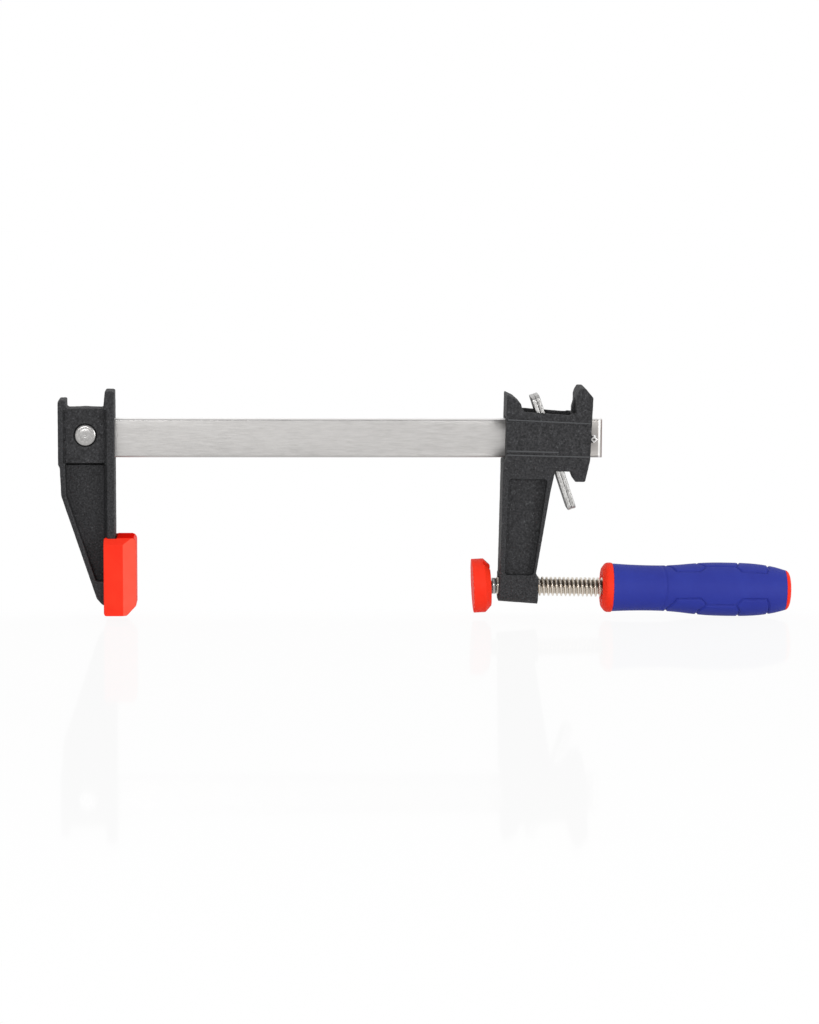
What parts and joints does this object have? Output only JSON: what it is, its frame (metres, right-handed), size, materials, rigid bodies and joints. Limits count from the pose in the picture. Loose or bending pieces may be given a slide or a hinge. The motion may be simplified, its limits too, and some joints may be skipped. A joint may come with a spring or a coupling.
{
  "type": "bar clamp",
  "caption": "Light bar clamp: flat steel bar, fixed jaw, sliding head held by tilted clutch plates, acme screw with swivelling round pad, two-colour handle.",
  "frame": {"origin": "middle of the fixed pad's clamping face, on the level of the screw", "axes": "+X along the bar from the fixed jaw to the handle, +Z from the screw up to the bar, +Y across the clamp"},
  "size_m": [0.3593, 0.0264, 0.1137],
  "materials": {
    "bar": "zinc plated, lightly scuffed",
    "jaw_rivet": "bright",
    "bar_end_stop": "bright",
    "fixed_jaw": "black textured paint on cast iron",
    "fixed_jaw_pad": "satin",
    "sliding_jaw": "black textured paint on cast iron",
    "clutch_plate_front": "zinc plated",
    "clutch_plate_rear": "zinc plated",
    "clutch_spring": "spring wire",
    "swivel_collar": "bright",
    "swivel_cup": "zinc plated",
    "moving_jaw_pad": "satin",
    "screw": "bright rolled thread",
    "handle_core": "satin",
    "handle_grip": "soft matte",
    "handle_end_cap": "satin"
  },
  "bodies": {
    "bar_frame": {"bar": "bar", "fixed_jaw": "fixed_jaw", "jaw_rivet": "jaw_rivet", "fixed_jaw_pad": "fixed_jaw_pad", "bar_end_stop": "bar_end_stop"},
    "sliding_head": {"sliding_jaw": "sliding_jaw", "clutch_spring": "clutch_spring"},
    "clutch_plates": {"clutch_plate_front": "clutch_plate_front", "clutch_plate_rear": "clutch_plate_rear"},
    "neck_collar": {"swivel_collar": "swivel_collar"},
    "spindle": {"screw": "screw", "handle_core": "handle_core", "handle_grip": "handle_grip", "handle_end_cap": "handle_end_cap"},
    "swivel": {"swivel_cup": "swivel_cup"},
    "moving_pad": {"moving_jaw_pad": "moving_jaw_pad"}
  },
  "joints": [
    {"name": "jaw_slide", "type": "slide", "parent": "bar_frame", "child": "sliding_head", "axis": [1, 0, 0], "range_m": [-0.16, 0]},
    {"name": "clutch_release", "type": "hinge", "parent": "sliding_head", "child": "clutch_plates", "pos_m": [0.20292, 0, 0.05826], "axis": [0, 1, 0], "range_deg": [0, 17], "stiffness_Nm_per_rad": 0.02, "springref_deg": -28.65, "deforming": ["clutch_spring"]},
    {"name": "screw_advance", "type": "slide", "parent": "sliding_head", "child": "neck_collar", "axis": [-0.9998, 0, 0.0183], "range_m": [0, 0.02963]},
    {"name": "screw_turn", "type": "hinge", "parent": "neck_collar", "child": "spindle", "pos_m": [0.17046, 0, 0.00055], "axis": [-0.9998, 0, 0.0183], "range_deg": [0, 5040]},
    {"name": "pad_tilt", "type": "hinge", "parent": "neck_collar", "child": "swivel", "pos_m": [0.17046, 0, 0.00055], "axis": [0, 1, 0], "range_deg": [0, 7.6]},
    {"name": "pad_spin", "type": "hinge", "parent": "swivel", "child": "moving_pad", "pos_m": [0.17046, 0, 0.00055], "axis": [0.9988, 0, 0.048], "continuous": true}
  ],
  "couplings": [
    {"joint": "screw_turn", "follows": "screw_advance", "rad_per_m": 2968.4}
  ]
}
